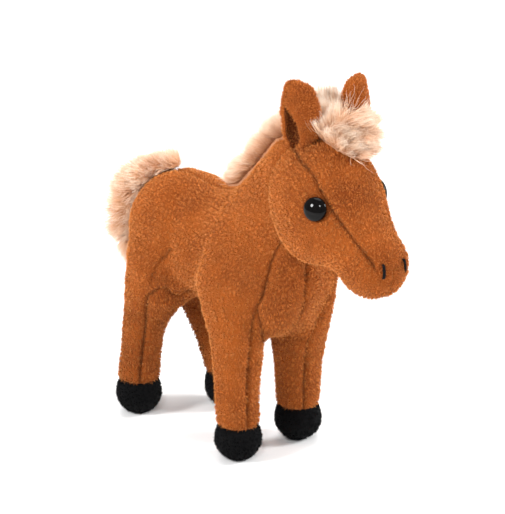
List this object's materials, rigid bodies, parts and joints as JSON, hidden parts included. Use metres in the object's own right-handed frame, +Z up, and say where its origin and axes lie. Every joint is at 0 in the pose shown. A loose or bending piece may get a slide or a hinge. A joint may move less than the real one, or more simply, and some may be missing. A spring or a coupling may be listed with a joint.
{
  "type": "plush toy horse",
  "caption": "Standing stuffed plush horse in brown pile fabric with dark hooves, long-pile mane, forelock and tail, upright ears and glossy safety eyes.",
  "frame": {"origin": "on the floor, under the middle of the bounding box", "axes": "+Z up, the horse faces -Y, its own left is +X and its own right is -X"},
  "size_m": [0.0616, 0.1882, 0.1755],
  "materials": {
    "plush_pile": "short brushed velour pile with a soft sheen",
    "hoof_pile": "short black pile",
    "long_pile_fur": "long soft faux fur, tan at the roots and cream at the tips",
    "fibre_fill": "loose white polyester fibre",
    "eye_plastic": "polished black",
    "washer_plastic": "moulded, unpolished",
    "embroidery_thread": "twisted black thread"
  },
  "bodies": {
    "horse": {"body_side_left": "plush_pile", "body_side_right": "plush_pile", "chest_panel_left": "plush_pile", "chest_panel_right": "plush_pile", "eye_left": "eye_plastic", "eye_right": "eye_plastic", "eye_washer_left": "washer_plastic", "eye_washer_right": "washer_plastic", "forelock": "long_pile_fur", "head_gusset": "plush_pile", "head_side_left": "plush_pile", "head_side_right": "plush_pile", "hoof_front_left": "hoof_pile", "hoof_front_right": "hoof_pile", "hoof_hind_left": "hoof_pile", "hoof_hind_right": "hoof_pile", "mane": "long_pile_fur", "nostril_stitch_left": "embroidery_thread", "nostril_stitch_right": "embroidery_thread", "stuffing_body": "fibre_fill", "stuffing_head": "fibre_fill", "stuffing_leg_front_left": "fibre_fill", "stuffing_leg_front_right": "fibre_fill", "stuffing_leg_hind_left": "fibre_fill", "stuffing_leg_hind_right": "fibre_fill", "stuffing_neck": "fibre_fill", "underbody_left": "plush_pile", "underbody_right": "plush_pile"},
    "tail": {"tail": "long_pile_fur"},
    "ear_right": {"ear_back_right": "plush_pile", "ear_lining_right": "plush_pile"},
    "ear_left": {"ear_back_left": "plush_pile", "ear_lining_left": "plush_pile"}
  },
  "joints": [
    {"name": "tail_lift", "type": "hinge", "parent": "horse", "child": "tail", "pos_m": [-0.00147, 0.05394, 0.11228], "axis": [1, 0, 0], "range_deg": [0, 35], "stiffness_Nm_per_rad": 0.02},
    {"name": "ear_right_flex", "type": "hinge", "parent": "horse", "child": "ear_right", "pos_m": [-0.01102, -0.03778, 0.15058], "axis": [0.4772, -0.8788, 0], "range_deg": [-8, 8], "stiffness_Nm_per_rad": 0.006},
    {"name": "ear_left_flex", "type": "hinge", "parent": "horse", "child": "ear_left", "pos_m": [0.01309, -0.04293, 0.14391], "axis": [0.9914, 0.1305, 0], "range_deg": [-8, 4], "stiffness_Nm_per_rad": 0.006}
  ]
}
